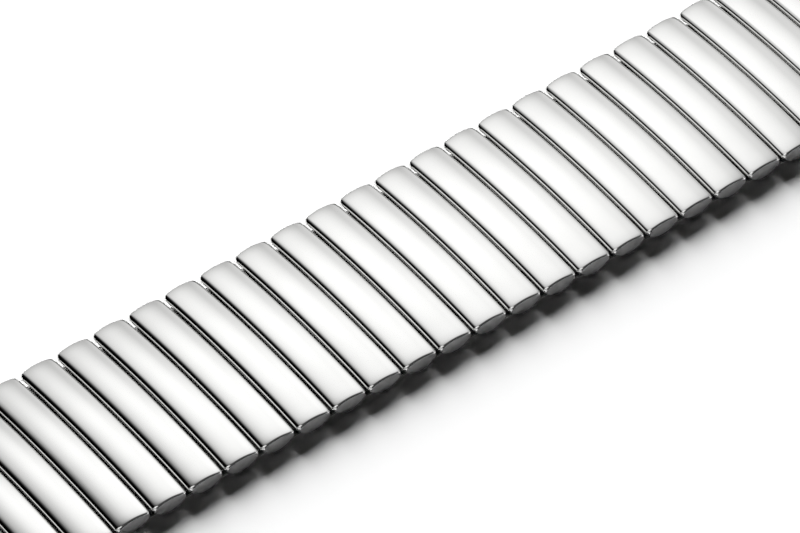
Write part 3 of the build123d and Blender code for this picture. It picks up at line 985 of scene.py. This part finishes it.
        back = (("Y", 0.13, 0.68), ("Z", 0.1, 0.22))
        total = patch(self.sky_level, ("X", -0.2, 0.02), *back)
        for added in (
            # Glow at the right of the light behind, and one overhead
            patch(self.sky_level / 2, ("X", 0.6, 0.78), *back),
            patch(0.9, ("X", -0.1, -0.2), ("Y", 0.15, 0.0), ("Z", 0.75, 0.85)),
            # In front: low down, far right, high on the left, and a faint fill above the low one
            patch(self.front_level, ("Y", -0.1, -0.3), ("Z", 0.32, 0.15)),
            patch(self.front_level, ("X", 0.84, 0.92), ("Y", 0.3, 0.1)),
            patch(self.front_level, ("X", -0.3, -0.45), ("Y", 0.1, -0.1), ("Z", 0.15, 0.32)),
            patch(self.front_level / 8, ("Y", 0.1, -0.1), ("Z", 0.15, 0.32)),
        ):
            total = calculate("ADD", total, added)
        path = tree.nodes.new("ShaderNodeLightPath")
        mix = tree.nodes.new("ShaderNodeMix")
        mix.data_type = "FLOAT"
        mix.inputs["B"].default_value = 1.0
        tree.links.new(path.outputs["Is Camera Ray"], mix.inputs["Factor"])
        tree.links.new(total, mix.inputs["A"])
        tree.links.new(mix.outputs["Result"], background.inputs["Strength"])
        world.cycles_visibility.diffuse = False

    def add_window(self):
        """Soft light from behind and the right that lights the table, and that the steel doesn't
        mirror. Its energy gives a level white surface the window level."""
        turn, rise = math.radians(40), math.radians(26)
        towards = direction(turn, rise)
        data = bpy.data.lights.new("Window", "SUN")
        data.angle = math.radians(48)
        data.energy = self.window_level * math.pi / math.sin(rise)
        window = bpy.data.objects.new("Window", data)
        window.rotation_euler = towards.to_track_quat("Z", "Y").to_euler()
        window.visible_glossy = False
        bpy.context.scene.collection.objects.link(window)

    def add_camera(self):
        """Long lens, turned and raised as the notches between the links in the photograph say."""
        turn, rise, distance = math.radians(-37.38), math.radians(46.54), 0.6382
        aim = Vector((-0.245, 0.315, 1.40)) * MM
        back = Vector((math.sin(turn) * math.cos(rise), -math.cos(turn) * math.cos(rise), math.sin(rise)))
        data = bpy.data.cameras.new("Camera")
        data.lens = 360
        data.sensor_width = 36
        data.clip_start = 0.01
        camera = bpy.data.objects.new("Camera", data)
        camera.location = aim + back * distance
        camera.rotation_euler = (-back).to_track_quat("-Z", "Y").to_euler()
        bpy.context.scene.collection.objects.link(camera)
        bpy.context.scene.camera = camera

    def execute(self, context):
        self.add_table(context.scene.band_colours)
        self.add_panel()
        self.add_surroundings()
        self.add_window()
        self.add_camera()
        context.scene.view_settings.view_transform = "Standard"
        return {"FINISHED"}


class BAND_PT_panel(bpy.types.Panel):
    """Sizes, colours and a button for each group of pieces"""

    bl_label = "Expansion watch band"
    bl_idname = "BAND_PT_panel"
    bl_space_type = "VIEW_3D"
    bl_region_type = "UI"
    bl_category = "Watch Band"

    def draw(self, context):
        for group in (context.scene.band_sizes, context.scene.band_colours):
            for name in group.bl_rna.properties.keys():
                if name not in {"rna_type", "name"}:
                    self.layout.prop(group, name)
        for operator in OPERATORS:
            self.layout.operator(operator.bl_idname)


OPERATORS = (
    BAND_OT_top_links, BAND_OT_bottom_links, BAND_OT_end_links, BAND_OT_spring_bars, BAND_OT_stage,
)
CLASSES = (BandSizes, BandColours, *OPERATORS, BAND_PT_panel)


def register():
    for cls in CLASSES:
        bpy.utils.register_class(cls)
    bpy.types.Scene.band_sizes = bpy.props.PointerProperty(type=BandSizes)
    bpy.types.Scene.band_colours = bpy.props.PointerProperty(type=BandColours)


def unregister():
    del bpy.types.Scene.band_colours
    del bpy.types.Scene.band_sizes
    for cls in reversed(CLASSES):
        bpy.utils.unregister_class(cls)


def main():
    register()
    bpy.ops.band.top_links()
    bpy.ops.band.bottom_links()
    bpy.ops.band.end_links()
    bpy.ops.band.spring_bars()
    bpy.ops.band.stage()


if __name__ == "__main__":
    main()
